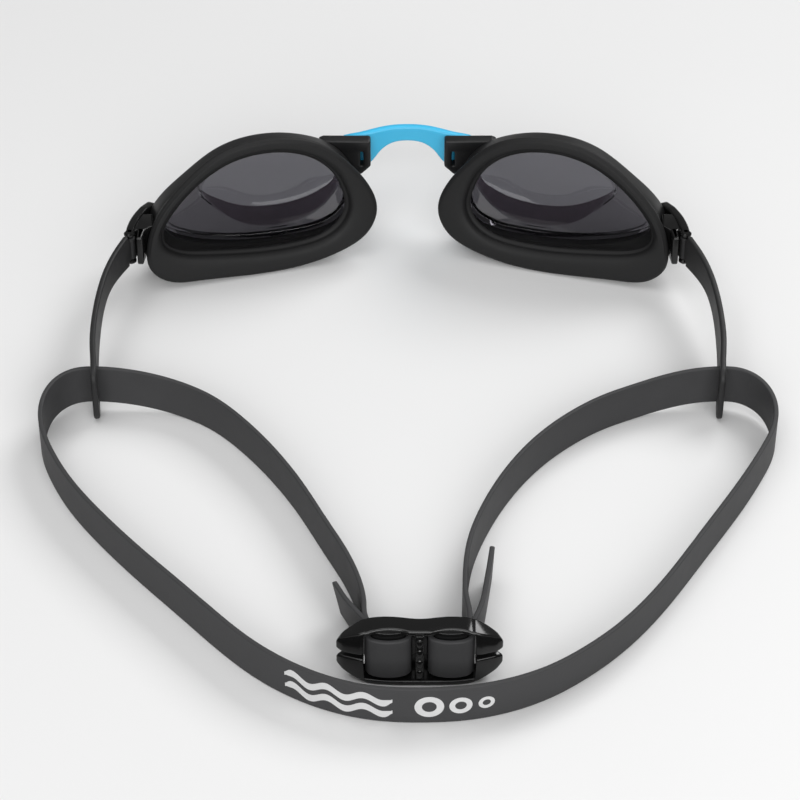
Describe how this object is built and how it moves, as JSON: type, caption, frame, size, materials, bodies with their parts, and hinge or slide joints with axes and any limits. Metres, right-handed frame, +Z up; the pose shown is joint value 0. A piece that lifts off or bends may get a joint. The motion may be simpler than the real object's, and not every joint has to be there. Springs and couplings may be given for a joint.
{
  "type": "swim goggles",
  "caption": "Racing swim goggles: two framed eyecups with soft gaskets and tinted lenses, a clip-on nose bridge, side arms and a flat head strap doubled through a rear buckle.",
  "frame": {"origin": "centre of the footprint on the surface the goggles stand on", "axes": "+X the wearer's right, +Y forward the way the lenses look, +Z up"},
  "size_m": [0.1816, 0.2001, 0.0381],
  "materials": {
    "frame_black": "satin",
    "lens_smoke": "smoke tinted, polished",
    "gasket_rubber": "soft matte",
    "gloss_black": "glossy",
    "bridge_blue": "satin",
    "arm_rubber": "soft matte",
    "strap_rubber": "matte silicone"
  },
  "bodies": {
    "goggle_front": {"left_frame": "frame_black", "right_frame": "frame_black", "left_lens": "lens_smoke", "right_lens": "lens_smoke", "left_gasket": "gasket_rubber", "right_gasket": "gasket_rubber", "left_side_clip": "gloss_black", "right_side_clip": "gloss_black"},
    "bridge": {"nose_bridge": "bridge_blue"},
    "left_arm": {"left_arm": "arm_rubber"},
    "right_arm": {"right_arm": "arm_rubber"},
    "strap": {"head_strap": "strap_rubber"},
    "buckle": {"rear_buckle": "gloss_black"}
  },
  "joints": [
    {"name": "bridge_unclip", "type": "slide", "parent": "goggle_front", "child": "bridge", "axis": [0, 1, 0], "range_m": [0, 0.008]},
    {"name": "left_arm_swing", "type": "hinge", "parent": "goggle_front", "child": "left_arm", "pos_m": [-0.0734, 0.0626, 0.0138], "axis": [0, 0, 1], "range_deg": [-3, 3]},
    {"name": "right_arm_swing", "type": "hinge", "parent": "goggle_front", "child": "right_arm", "pos_m": [0.0734, 0.0626, 0.0138], "axis": [0, 0, 1], "range_deg": [-3, 3]},
    {"name": "strap_run", "type": "slide", "parent": "goggle_front", "child": "strap", "axis": [1, 0, 0], "range_m": [-0.002, 0.002]},
    {"name": "buckle_slide", "type": "slide", "parent": "strap", "child": "buckle", "axis": [0, 1, 0], "range_m": [-0.005, 0.012], "deforming": ["head_strap"]}
  ]
}
